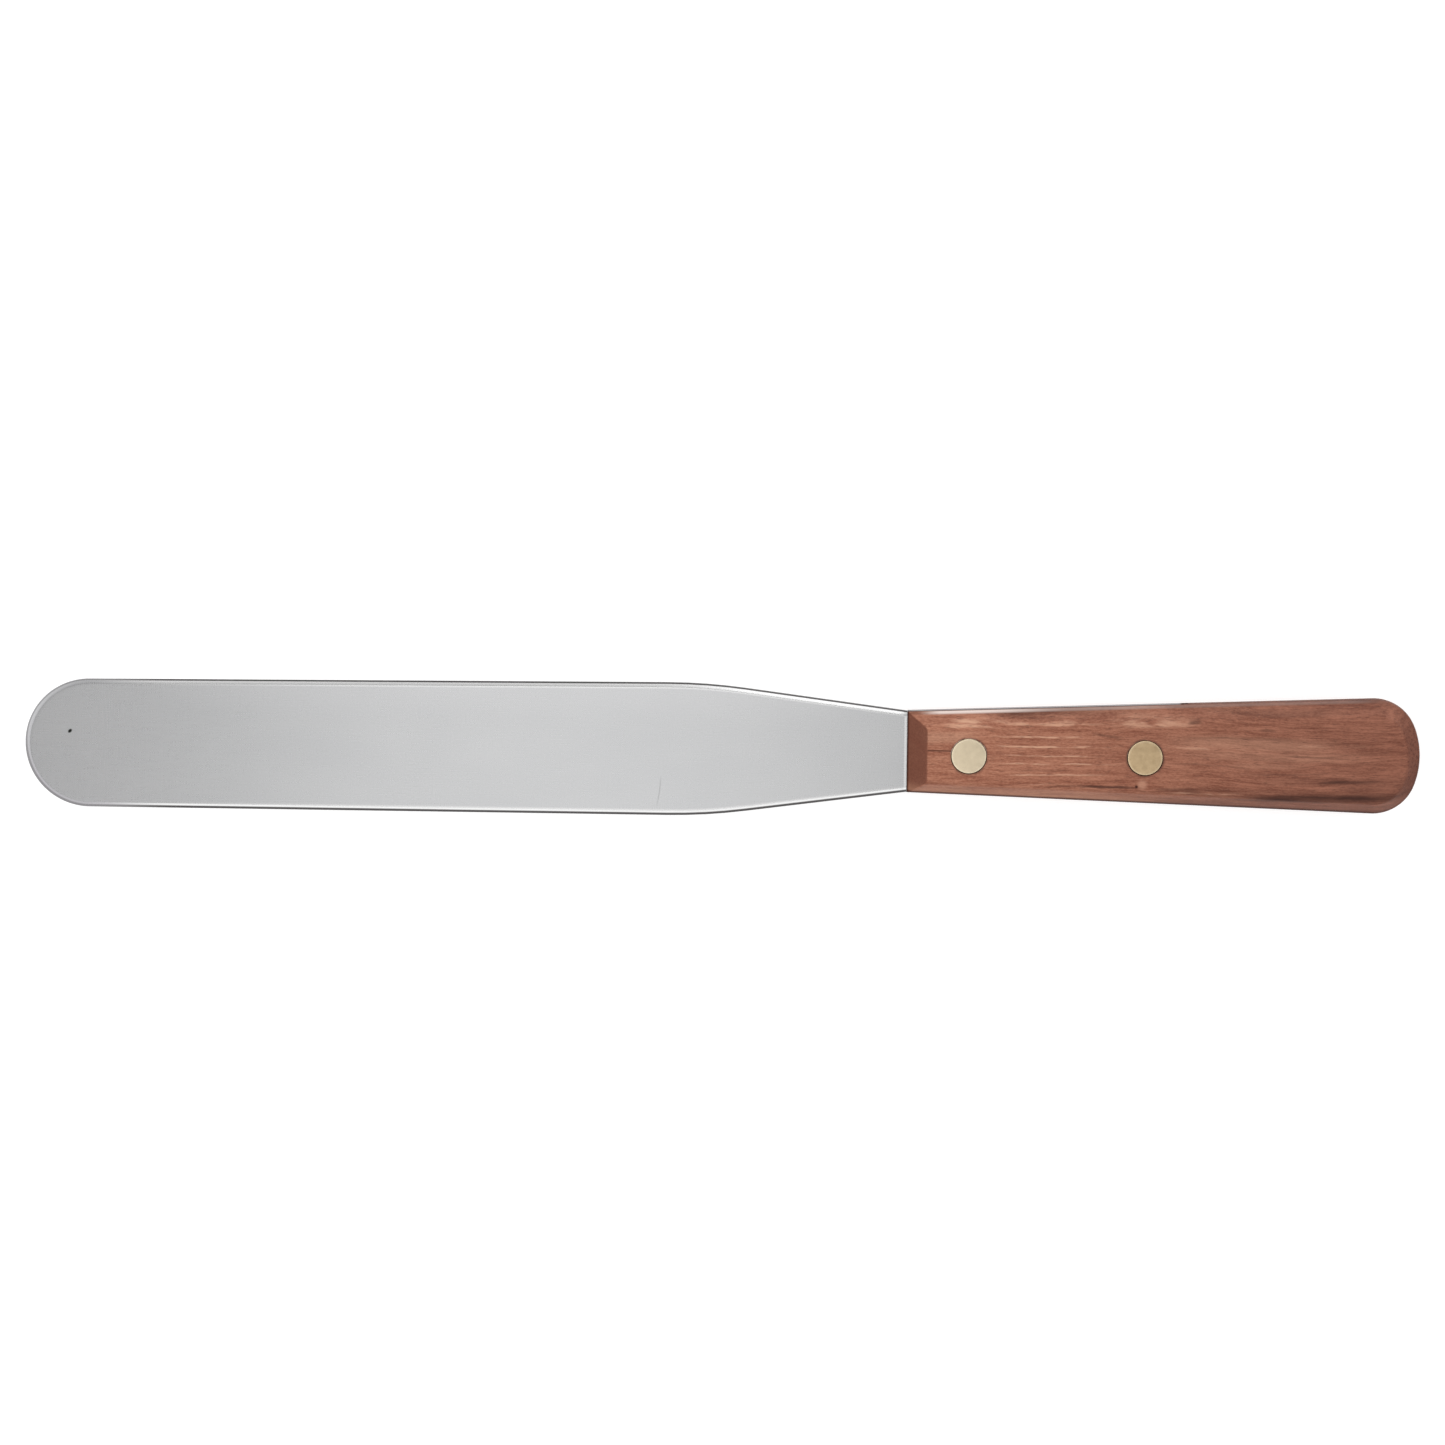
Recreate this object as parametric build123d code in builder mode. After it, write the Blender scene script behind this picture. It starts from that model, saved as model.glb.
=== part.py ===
from build123d import *
import os
from math import atan, cos, sin, sqrt

# A straight palette knife: a long flexible steel blade with a round tip, in a one-piece hardwood
# handle. The blade's half tang fills a saw kerf in the front of the handle, flush with its sides,
# and two brass cutlery rivets go through both. Each rivet is a hollow half and a solid half
# pressed together, with their flat heads ground level with the handle's faces.
#
# Millimetres. +X runs along the knife from the blade's tip to the handle's butt, +Y across the
# blade and +Z up out of its flat. The origin is on the surface that the knife is laid on, under
# the middle of its length.

# ---- driving dimensions ----
blade_length = 200.0  # from the tip to the front of the handle
tip_width = 29.3  # across the round tip
shoulder_width = 30.6  # the blade's widest part
shoulder_before_handle = 45.6  # where its sides turn in towards the handle
shoulder_radius = 130.0
neck_width = 18.6  # blade and handle where they meet
tip_thickness = 0.7
tang_thickness = 1.5
edge_bevel_width = 1.05  # narrow bevel round the blade's outline, on both faces
edge_bevel_depth = 0.25

handle_length = 116.3
handle_thickness = 13.0
butt_width = 26.6
butt_crown_radius = 19.0
butt_corner_radius = 10.0
side_bevel_width = 3.2  # soft bevel along the handle's sides and round its butt
side_bevel_height = 5.2
crease_radius = 1.6  # softens that bevel into the flat face and into the side
facet_length = 4.5  # slope at the front, from the blade up to the handle's flat faces
facet_step = 0.4  # square edge of wood left between the blade and the slope

tang_length = 63.0
tang_corner_radius = 1.5
kerf_length = 64.5
saw_radius = 75.0  # the round saw that cuts the kerf leaves a curved end

rivet_from_front = 13.9
rivet_spacing = 39.9
head_diameter = 8.0
head_thickness = 1.6
head_edge_radius = 0.15
sleeve_diameter = 5.0
post_diameter = 3.0
post_lead = 0.4  # chamfer on the end of the post
post_length = 8.0  # from the underside of its head
sleeve_end_gap = 0.6  # between the sleeve's open end and the other half's head
bore_end_gap = 0.6  # between the end of the post and the end of the sleeve's bore
head_clearance = 0.1  # round each head, in radius
sleeve_clearance = 0.05
tang_hole_clearance = 0.2

# ---- places that follow from them ----
x_tip = -(blade_length + handle_length) / 2
x_butt = -x_tip
x_neck = x_tip + blade_length
x_shoulder = x_neck - shoulder_before_handle
x_tang_end = x_neck + tang_length
x_butt_corner = x_butt - butt_crown_radius + sqrt(butt_crown_radius**2 - (butt_width / 2) ** 2)
x_rivets = {
    "front": x_neck + rivet_from_front,
    "rear": x_neck + rivet_from_front + rivet_spacing,
}
z_middle = handle_thickness / 2
side_slope = (butt_width - neck_width) / 2 / (x_butt_corner - x_neck)
tang_end_width = neck_width + 2 * side_slope * tang_length


def at_x(shapes, x):
    """The vertices, edges or faces whose centre is at x."""
    return shapes.filter_by(lambda shape: abs(shape.center().X - x) < 0.01)


os.makedirs("parts", exist_ok=True)

# ---- blade, with its tang ----
# The tip is an arc that meets both sides smoothly. The sides spread a little towards the shoulder.
tip_radius = tip_width / 2
spread = atan((shoulder_width - tip_width) / 2 / (x_shoulder - x_tip - tip_radius))
x_tip_side = x_tip + tip_radius * (1 - sin(spread))
y_tip_side = tip_radius * cos(spread)

with BuildPart() as blade:
    with BuildSketch(Plane.XY.offset(z_middle)) as blade_outline:
        with BuildLine():
            tip_arc = ThreePointArc((x_tip_side, -y_tip_side), (x_tip, 0), (x_tip_side, y_tip_side))
            side = Polyline(
                tip_arc @ 1, (x_shoulder, shoulder_width / 2), (x_neck, neck_width / 2)
            )
            mirror(side, about=Plane.XZ)
            Line(side @ 1, (x_neck, -neck_width / 2))
        make_face()
        fillet(at_x(blade_outline.vertices(), x_shoulder), shoulder_radius)
    extrude(amount=tang_thickness / 2, both=True)
    # Taper grinding thins the blade evenly from the handle to the tip.
    with BuildSketch(Plane.XZ) as taper_profile:
        with BuildLine():
            Polyline(
                (x_tip, z_middle - tip_thickness / 2),
                (x_neck, z_middle - tang_thickness / 2),
                (x_neck, z_middle + tang_thickness / 2),
                (x_tip, z_middle + tip_thickness / 2),
                close=True,
            )
        make_face()
    extrude(amount=shoulder_width, both=True, mode=Mode.INTERSECT)
    for end in (0, -1):
        ground_face = blade.faces().sort_by(Axis.Z)[end]
        rim = ground_face.edges().filter_by(lambda edge: edge.center().X < x_neck - 1)
        chamfer(rim, edge_bevel_width, edge_bevel_depth, reference=ground_face)
    # The tang is as wide as the handle all the way.
    with BuildSketch(Plane.XY.offset(z_middle)) as tang_outline:
        with BuildLine():
            Polyline(
                (x_neck, -neck_width / 2),
                (x_tang_end, -tang_end_width / 2),
                (x_tang_end, tang_end_width / 2),
                (x_neck, neck_width / 2),
                close=True,
            )
        make_face()
        fillet(at_x(tang_outline.vertices(), x_tang_end), tang_corner_radius)
    extrude(amount=tang_thickness / 2, both=True)
    with Locations(*[(x, 0, z_middle) for x in x_rivets.values()]):
        Hole(sleeve_diameter / 2 + tang_hole_clearance, depth=tang_thickness)
blade.part.label = "blade"
export_step(blade.part, "parts/blade.step")

# ---- handle ----
with BuildPart() as handle:
    with BuildSketch() as handle_outline:
        with BuildLine():
            butt_arc = ThreePointArc(
                (x_butt_corner, -butt_width / 2), (x_butt, 0), (x_butt_corner, butt_width / 2)
            )
            Polyline(
                butt_arc @ 1, (x_neck, neck_width / 2), (x_neck, -neck_width / 2), butt_arc @ 0
            )
        make_face()
        fillet(at_x(handle_outline.vertices(), x_butt_corner), butt_corner_radius)
    extrude(amount=handle_thickness)
    # The soft bevel is a chamfer whose two creases are then rounded, on both faces.
    for end in (0, -1):
        flat_face = handle.faces().sort_by(Axis.Z)[end]
        rim = flat_face.edges().filter_by(lambda edge: edge.center().X > x_neck + 1)
        chamfer(rim, side_bevel_width, side_bevel_height, reference=flat_face)
    for height in (0, side_bevel_height, handle_thickness - side_bevel_height, handle_thickness):
        crease = handle.edges().filter_by_position(Axis.Z, height - 0.01, height + 0.01)
        fillet(crease.filter_by(lambda edge: edge.center().X > x_neck + 1), crease_radius)
    # The front slopes down to the blade on both faces.
    with BuildSketch(Plane.XZ) as front_slopes:
        with BuildLine():
            Polyline(
                (x_neck, z_middle + tang_thickness / 2 + facet_step),
                (x_neck + facet_length, handle_thickness),
                (x_neck, handle_thickness),
                close=True,
            )
        make_face()
        mirror(about=Plane.XY.offset(z_middle))
    extrude(amount=neck_width, both=True, mode=Mode.SUBTRACT)
    # The kerf has the outline of the saw, wider than the handle, so the tang shows at both sides.
    with BuildSketch(Plane.XY.offset(z_middle)):
        with Locations((x_neck + kerf_length - saw_radius, 0)):
            Circle(saw_radius)
    extrude(amount=tang_thickness / 2, both=True, mode=Mode.SUBTRACT)
    for outer_face in (Plane.XY.offset(handle_thickness), -Plane.XY):
        with Locations(outer_face):
            with Locations(*[(x, 0) for x in x_rivets.values()]):
                CounterBoreHole(
                    sleeve_diameter / 2 + sleeve_clearance,
                    head_diameter / 2 + head_clearance,
                    head_thickness,
                    depth=handle_thickness,
                )
handle.part.label = "handle"
export_step(handle.part, "parts/handle.step")

# ---- rivets ----
for place, x_rivet in x_rivets.items():
    rivet_section = Plane((x_rivet, 0, 0), x_dir=(1, 0, 0), z_dir=(0, -1, 0))
    rivet_axis = Axis((x_rivet, 0, 0), (0, 0, 1))
    z_head = handle_thickness - head_thickness
    z_post_end = head_thickness + post_length

    # The hollow half has its head in the upper face.
    with BuildPart() as sleeve:
        with BuildSketch(rivet_section) as sleeve_section:
            with BuildLine():
                Polyline(
                    (0, handle_thickness),
                    (head_diameter / 2, handle_thickness),
                    (head_diameter / 2, z_head),
                    (sleeve_diameter / 2, z_head),
                    (sleeve_diameter / 2, head_thickness + sleeve_end_gap),
                    (post_diameter / 2, head_thickness + sleeve_end_gap),
                    (post_diameter / 2, z_post_end + bore_end_gap),
                    (0, z_post_end + bore_end_gap),
                    close=True,
                )
            make_face()
        revolve(axis=rivet_axis)
        fillet(sleeve.edges().sort_by(Axis.Z)[-1], head_edge_radius)
    sleeve.part.label = f"{place}_rivet_sleeve"
    export_step(sleeve.part, f"parts/{place}_rivet_sleeve.step")

    # The solid half has its head in the lower face, and its post fills the sleeve's bore.
    with BuildPart() as post:
        with BuildSketch(rivet_section) as post_section:
            with BuildLine():
                Polyline(
                    (0, 0),
                    (head_diameter / 2, 0),
                    (head_diameter / 2, head_thickness),
                    (post_diameter / 2, head_thickness),
                    (post_diameter / 2, z_post_end - post_lead),
                    (post_diameter / 2 - post_lead, z_post_end),
                    (0, z_post_end),
                    close=True,
                )
            make_face()
        revolve(axis=rivet_axis)
        fillet(post.edges().sort_by(Axis.Z)[0], head_edge_radius)
    post.part.label = f"{place}_rivet_post"
    export_step(post.part, f"parts/{place}_rivet_post.step")
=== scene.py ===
from math import atan, atan2, ceil, cos, pi, radians, sin, sqrt, tan

import bmesh
import bpy
from mathutils import Matrix, Vector


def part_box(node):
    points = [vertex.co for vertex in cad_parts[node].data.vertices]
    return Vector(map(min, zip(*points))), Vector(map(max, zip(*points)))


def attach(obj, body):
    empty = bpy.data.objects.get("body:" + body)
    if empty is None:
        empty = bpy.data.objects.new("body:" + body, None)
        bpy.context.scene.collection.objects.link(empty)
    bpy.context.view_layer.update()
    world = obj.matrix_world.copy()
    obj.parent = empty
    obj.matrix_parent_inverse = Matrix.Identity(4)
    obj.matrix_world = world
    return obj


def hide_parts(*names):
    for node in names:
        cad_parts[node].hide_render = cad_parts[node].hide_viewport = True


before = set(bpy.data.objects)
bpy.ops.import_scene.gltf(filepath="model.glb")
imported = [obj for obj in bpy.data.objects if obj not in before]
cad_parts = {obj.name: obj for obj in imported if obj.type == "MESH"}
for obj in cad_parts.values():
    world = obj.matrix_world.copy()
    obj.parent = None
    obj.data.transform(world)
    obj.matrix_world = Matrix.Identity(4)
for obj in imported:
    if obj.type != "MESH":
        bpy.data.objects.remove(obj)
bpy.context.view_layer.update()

# A straight palette knife: a satin steel blade with a round tip, in a rosewood-coloured handle with
# two brass rivets. Metres throughout; MM turns millimetres into them. +X runs from the blade's tip
# to the handle's butt, +Y across the blade and +Z up. The knife lies on z = 0.
MM = 0.001

# ---- places that the frame gives ----
blade_low, blade_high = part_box("blade")
handle_low, handle_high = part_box("handle")
X_TIP = blade_low.x
X_TANG_END = blade_high.x
X_NECK = handle_low.x
X_BUTT = handle_high.x
Z_TOP = handle_high.z
Z_MIDDLE = (handle_low.z + handle_high.z) / 2
HALF_HANDLE = (handle_high.z - handle_low.z) / 2
HALF_TANG = (blade_high.z - blade_low.z) / 2
OVERALL_LENGTH = X_BUTT - X_TIP
RIVETS = ("front", "rear")

# ---- sizes that the boxes don't tell, as in the CAD model ----
TIP_HALF_WIDTH = 14.65 * MM
SHOULDER_HALF_WIDTH = 15.294 * MM  # a little under the CAD's 15.3, to stay inside its box
SHOULDER_BEFORE_NECK = 45.6 * MM
SHOULDER_RADIUS = 130 * MM
NECK_HALF_WIDTH = 9.3 * MM
TIP_HALF_THICKNESS = 0.35 * MM
EDGE_BEVEL_WIDTH = 1.05 * MM
EDGE_BEVEL_DEPTH = 0.25 * MM
TANG_CORNER_RADIUS = 1.5 * MM

BUTT_HALF_WIDTH = 13.3 * MM
BUTT_CROWN_RADIUS = 19 * MM
BUTT_CORNER_RADIUS = 10 * MM
SIDE_BEVEL_WIDTH = 3.2 * MM
SIDE_BEVEL_HEIGHT = 5.2 * MM
CREASE_RADIUS = 1.6 * MM
FACET_LENGTH = 4.5 * MM
FACET_STEP = 0.4 * MM
KERF_LENGTH = 64.5 * MM
SAW_RADIUS = 75 * MM

HEAD_THICKNESS = 1.6 * MM
HEAD_CLEARANCE = 0.1 * MM
SLEEVE_RADIUS = 2.5 * MM
SLEEVE_CLEARANCE = 0.05 * MM
TANG_HOLE_CLEARANCE = 0.2 * MM
POST_RADIUS = 1.5 * MM
POST_LEAD = 0.4 * MM
END_GAP = 0.6 * MM

# ---- details that only the visual model has ----
EDGE_NOSE_RADIUS = 0.12 * MM  # softens the blade's bevel into its narrow edge
BEVEL_HEEL_RADIUS = 0.9 * MM  # softens the same bevel into the blade's flat
BEVEL_MARGIN = 0.6 * MM  # first strip of the flat, beside the bevel
FACET_BLEND = 0.45 * MM  # softens the front facets into the handle's flat faces and bevels
HEAD_DOME = 0.05 * MM  # how much higher the middle of a rivet's head is than its rim
HEAD_RIM_RADIUS = 0.22 * MM

MERGE_DISTANCE = 0.0005 * MM  # corners closer than this are one corner
JUST_PAST = 0.001 * MM  # beyond a place, and not on it

SIDE_SLOPE = (BUTT_HALF_WIDTH - NECK_HALF_WIDTH) / (
    X_BUTT - BUTT_CROWN_RADIUS + sqrt(BUTT_CROWN_RADIUS**2 - BUTT_HALF_WIDTH**2) - X_NECK
)


# ---- outlines ----
def arc(centre, radius, start, end, turn):
    """Points on an arc from one angle to another, in radians, at most turn apart."""
    count = ceil(abs(end - start) / turn)
    angles = [start + (end - start) * i / count for i in range(count + 1)]
    return [Vector((centre[0] + radius * cos(a), centre[1] + radius * sin(a))) for a in angles]


def rounded_path(corners, turn):
    """Points through corners, each given as (x, y, radius) and rounded to its radius."""
    path = []
    for i, (x, y, radius) in enumerate(corners):
        corner = Vector((x, y))
        if radius == 0:
            path.append(corner)
            continue
        back = (Vector(corners[i - 1][:2]) - corner).normalized()
        ahead = (Vector(corners[i + 1][:2]) - corner).normalized()
        half_angle = back.angle(ahead) / 2
        centre = corner + (back + ahead).normalized() * radius / sin(half_angle)
        first = corner + back * radius / tan(half_angle) - centre
        last = corner + ahead * radius / tan(half_angle) - centre
        start = atan2(first.y, first.x)
        end = start + atan2(first.cross(last), first.dot(last))
        path += arc(centre, radius, start, end, turn)
    return path


def divided(path, spacing):
    """The same path with more points, at most spacing apart, and none twice."""
    fine = [path[0]]
    for start, end in zip(path, path[1:]):
        length = (end - start).length
        if length < MERGE_DISTANCE:
            continue
        count = ceil(length / spacing)
        fine += [start.lerp(end, k / count) for k in range(1, count + 1)]
    return fine


def inward_normals(path, first, last):
    """Unit vectors into the shape along a path that goes round its +Y half from low to high x."""
    normals = [Vector(first)]
    for before, after in zip(path, path[2:]):
        along = (after - before).normalized()
        normals.append(Vector((along.y, -along.x)))
    return normals + [Vector(last)]


def blade_outline():
    corners = (
        (X_TIP, 0, 0),
        (X_TIP, TIP_HALF_WIDTH, TIP_HALF_WIDTH),
        (X_NECK - SHOULDER_BEFORE_NECK, SHOULDER_HALF_WIDTH, SHOULDER_RADIUS),
        (X_NECK, NECK_HALF_WIDTH, 0),
        (X_TANG_END, NECK_HALF_WIDTH + SIDE_SLOPE * (X_TANG_END - X_NECK), TANG_CORNER_RADIUS),
        (X_TANG_END, 0, 0),
    )
    return divided(rounded_path(corners, turn=radians(2)), spacing=2 * MM)


def handle_outline():
    """The side, then the butt's corner and its crown. The corner's arc touches the other two.

    The corner's centre is one corner radius inside the side's straight line, and as far from the
    crown's centre as the two radii differ. Its place follows from a quadratic equation."""
    lean = atan(SIDE_SLOPE)
    crown_x = X_BUTT - BUTT_CROWN_RADIUS
    gap = BUTT_CROWN_RADIUS - BUTT_CORNER_RADIUS
    level = NECK_HALF_WIDTH + SIDE_SLOPE * (crown_x - X_NECK) - BUTT_CORNER_RADIUS / cos(lean)
    tilt = 1 + SIDE_SLOPE**2
    root = sqrt((level * SIDE_SLOPE) ** 2 - tilt * (level**2 - gap**2))
    ahead = (root - level * SIDE_SLOPE) / tilt
    corner_x = crown_x + ahead
    corner_y = level + SIDE_SLOPE * ahead
    meeting = atan2(corner_y, corner_x - crown_x)

    # The front is divided more finely, for the facets' soft edges.
    front = 2 * FACET_LENGTH
    neck_corner = Vector((X_NECK, NECK_HALF_WIDTH))
    front_end = Vector((X_NECK + front, NECK_HALF_WIDTH + SIDE_SLOPE * front))
    turn = radians(2.5)
    corner = arc((corner_x, corner_y), BUTT_CORNER_RADIUS, pi / 2 + lean, meeting, turn)
    crown = arc((crown_x, 0), BUTT_CROWN_RADIUS, meeting, 0, turn)
    rest = divided([front_end] + corner + crown, spacing=1 * MM)
    return divided([neck_corner, front_end], spacing=0.2 * MM) + rest[1:]


# ---- meshes ----
def soft_min(a, b, softness):
    """The smaller of two heights, blended where they are close."""
    blend = max(softness - abs(a - b), 0) / softness
    return min(a, b) - blend * blend * softness / 4


def plate(name, path, normals, section, height, columns, blunt_start=False):
    """A plate, symmetric about its middle plane and about y = 0.

    path is the +Y half of its outline. section holds (inset, drop) points from the outline's middle
    plane up to the flat face, drop being the depth under that face, and height(x, drop) gives how
    far above the middle plane such a point is. The flat face has so many columns on each side of
    y = 0. A blunt start, away from y = 0, is closed with a face. Each corner keeps its inset, which
    the materials read."""
    bm = bmesh.new()
    inset_layer = bm.verts.layers.float.new("inset")
    loops = []
    for point, normal in zip(path, normals):
        edge = [(point + normal * inset, inset, drop) for inset, drop in section]
        quarter = [(place.x, place.y, height(place.x, drop), inset) for place, inset, drop in edge]
        flat, flat_inset, _ = edge[-1]
        for k in range(1, columns + 1):
            y = flat.y * (1 - k / columns)
            quarter.append((flat.x, y, height(flat.x, 0), flat_inset + flat.y - y))
        corners = list(quarter)
        corners += [(x, -y, h, inset) for x, y, h, inset in quarter[-2::-1]]
        corners += [(x, -y, -h, inset) for x, y, h, inset in quarter[1:]]
        corners += [(x, y, -h, inset) for x, y, h, inset in quarter[-2:0:-1]]
        loop = []
        for x, y, h, inset in corners:
            vertex = bm.verts.new((x, y, Z_MIDDLE + h))
            vertex[inset_layer] = inset
            loop.append(vertex)
        loops.append(loop)
    bridge(bm, loops)
    if blunt_start:
        bm.faces.new(loops[0])
    close_up(bm)
    return as_object(name, bm)


def lathe(name, centre, outline, segments=96):
    """A turned piece about an upright axis. outline holds (radius, z) from axis to axis."""
    bm = bmesh.new()
    turns = [2 * pi * k / segments for k in range(segments)]
    rings = []
    for radius, z in outline:
        ring = [(centre.x + radius * cos(turn), centre.y + radius * sin(turn), z) for turn in turns]
        rings.append([bm.verts.new(corner) for corner in ring])
    bridge(bm, rings)
    close_up(bm)
    return as_object(name, bm)


def bridge(bm, loops):
    """Joins each closed loop of vertices to the next with a band of faces."""
    for one, other in zip(loops, loops[1:]):
        for k in range(len(one)):
            bm.faces.new((one[k - 1], one[k], other[k], other[k - 1]))


def close_up(bm):
    """Merges corners that are in one place, and turns all faces outward."""
    bmesh.ops.remove_doubles(bm, verts=bm.verts, dist=MERGE_DISTANCE)
    bmesh.ops.dissolve_degenerate(bm, edges=bm.edges, dist=MERGE_DISTANCE)
    bmesh.ops.recalc_face_normals(bm, faces=bm.faces)


def as_object(name, bm):
    mesh = bpy.data.meshes.new(name)
    bm.to_mesh(mesh)
    bm.free()
    piece = bpy.data.objects.new(name, mesh)
    bpy.context.scene.collection.objects.link(piece)
    return piece


def cut(piece, cutters):
    """Takes the cutters away from the piece, and removes them."""
    for cutter in cutters:
        boolean = piece.modifiers.new("cut", "BOOLEAN")
        boolean.object = cutter
        boolean.solver = "EXACT"
    bpy.context.view_layer.update()
    evaluated = piece.evaluated_get(bpy.context.evaluated_depsgraph_get())
    mesh = bpy.data.meshes.new_from_object(evaluated)
    piece.modifiers.clear()
    piece.data = mesh
    for cutter in cutters:
        bpy.data.objects.remove(cutter)


def finish_piece(piece, node, material, sharp_angle):
    """Shades the piece smooth, except over edges sharper than the angle, and says what it is."""
    piece.data.shade_smooth()
    piece.data.set_sharp_from_angle(angle=sharp_angle)
    piece.data.materials.clear()
    piece.data.materials.append(material)
    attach(piece, "root")
    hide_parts(node)


# ---- pieces ----
def rivet_centre(place):
    low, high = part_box(f"{place}_rivet_sleeve")
    return (low + high) / 2


def head_radius(place):
    low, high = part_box(f"{place}_rivet_sleeve")
    return (high.x - low.x) / 2


def rivet_cutters(radius, low, high):
    """Upright cutters on both rivets' axes, from one height to another."""
    outline = [(0, low), (radius, low), (radius, high), (0, high)]
    return [lathe(f"{place}_cutter", rivet_centre(place), outline) for place in RIVETS]


def make_blade(material):
    """The blade thins evenly towards its tip. Its edge is bevelled, but the tang's is square."""

    def height(x, drop):
        if x > X_NECK + JUST_PAST:
            return HALF_TANG if drop < HALF_TANG else 0
        along = (x - X_TIP) / (X_NECK - X_TIP)
        half = TIP_HALF_THICKNESS + (HALF_TANG - TIP_HALF_THICKNESS) * along
        return max(half - drop, 0)

    corners = (
        (0, HALF_TANG, 0),
        (0, EDGE_BEVEL_DEPTH, EDGE_NOSE_RADIUS),
        (EDGE_BEVEL_WIDTH, 0, BEVEL_HEEL_RADIUS),
        (EDGE_BEVEL_WIDTH + BEVEL_MARGIN, 0, 0),
    )
    section = rounded_path(corners, turn=radians(8))
    path = blade_outline()
    normals = inward_normals(path, first=(1, 0), last=(-1, 0))
    blade = plate("blade_finished", path, normals, section, height, columns=12)
    cut(blade, rivet_cutters(SLEEVE_RADIUS + TANG_HOLE_CLEARANCE, 0, Z_TOP))
    finish_piece(blade, "blade", material, sharp_angle=radians(50))


def make_handle(material):
    """The handle, with a soft bevel all round, sloped front facets, the saw kerf and rivet holes."""
    facet_rise = (HALF_HANDLE - HALF_TANG - FACET_STEP) / FACET_LENGTH

    def height(x, drop):
        facet = HALF_TANG + FACET_STEP + facet_rise * (x - X_NECK)
        return soft_min(max(HALF_HANDLE - drop, 0), facet, FACET_BLEND)

    corners = (
        (0, HALF_HANDLE, 0),
        (0, SIDE_BEVEL_HEIGHT, CREASE_RADIUS),
        (SIDE_BEVEL_WIDTH, 0, CREASE_RADIUS),
        (2 * SIDE_BEVEL_WIDTH, 0, 0),
    )
    section = divided(rounded_path(corners, turn=radians(5)), spacing=0.3 * MM)
    path = handle_outline()
    normals = inward_normals(path, first=(0, -1), last=(-1, 0))
    handle = plate("handle_finished", path, normals, section, height, columns=16, blunt_start=True)

    saw_centre = Vector((X_NECK + KERF_LENGTH - SAW_RADIUS, 0))
    saw_low = Z_MIDDLE - HALF_TANG
    saw_high = Z_MIDDLE + HALF_TANG
    saw_outline = [(0, saw_low), (SAW_RADIUS, saw_low), (SAW_RADIUS, saw_high), (0, saw_high)]
    seat_radius = head_radius("front") + HEAD_CLEARANCE
    below = -HEAD_THICKNESS
    above = Z_TOP + HEAD_THICKNESS
    cutters = [lathe("kerf_cutter", saw_centre, saw_outline, segments=360)]
    cutters += rivet_cutters(SLEEVE_RADIUS + SLEEVE_CLEARANCE, below, above)
    cutters += rivet_cutters(seat_radius, Z_TOP - HEAD_THICKNESS, above)
    cutters += rivet_cutters(seat_radius, below, HEAD_THICKNESS)
    cut(handle, cutters)
    finish_piece(handle, "handle", material, sharp_angle=radians(35))


def head_outline(radius, face, shank_radius, up):
    """A rivet head's outline from the middle of its face to its shank, up being 1 or -1.

    The face is slightly domed and its rim is soft."""
    dome_points = 10
    shares = [k / dome_points for k in range(dome_points)]
    outline = [(radius * share, face - up * HEAD_DOME * share**2) for share in shares]
    rim_x = radius - HEAD_RIM_RADIUS
    rim_z = face - up * (HEAD_DOME + HEAD_RIM_RADIUS)
    for degrees in range(90, -1, -15):
        x = rim_x + HEAD_RIM_RADIUS * cos(radians(degrees))
        outline.append((x, rim_z + up * HEAD_RIM_RADIUS * sin(radians(degrees))))
    underside = face - up * HEAD_THICKNESS
    return outline + [(radius, underside), (shank_radius, underside)]


def make_rivet(place, material):
    """A hollow half from above and a solid half from below, one inside the other."""
    sleeve_low, sleeve_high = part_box(f"{place}_rivet_sleeve")
    post_low, post_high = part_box(f"{place}_rivet_post")
    radius = head_radius(place)
    bore_end = post_high.z + END_GAP
    sleeve_outline = head_outline(radius, sleeve_high.z, SLEEVE_RADIUS, up=1) + [
        (SLEEVE_RADIUS, sleeve_low.z),
        (POST_RADIUS, sleeve_low.z),
        (POST_RADIUS, bore_end),
        (0, bore_end),
    ]
    post_outline = head_outline(radius, post_low.z, POST_RADIUS, up=-1) + [
        (POST_RADIUS, post_high.z - POST_LEAD),
        (POST_RADIUS - POST_LEAD, post_high.z),
        (0, post_high.z),
    ]
    for half, outline in (("sleeve", sleeve_outline), ("post", post_outline)):
        node = f"{place}_rivet_{half}"
        piece = lathe(f"{node}_finished", rivet_centre(place), outline)
        finish_piece(piece, node, material, sharp_angle=radians(40))


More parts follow.
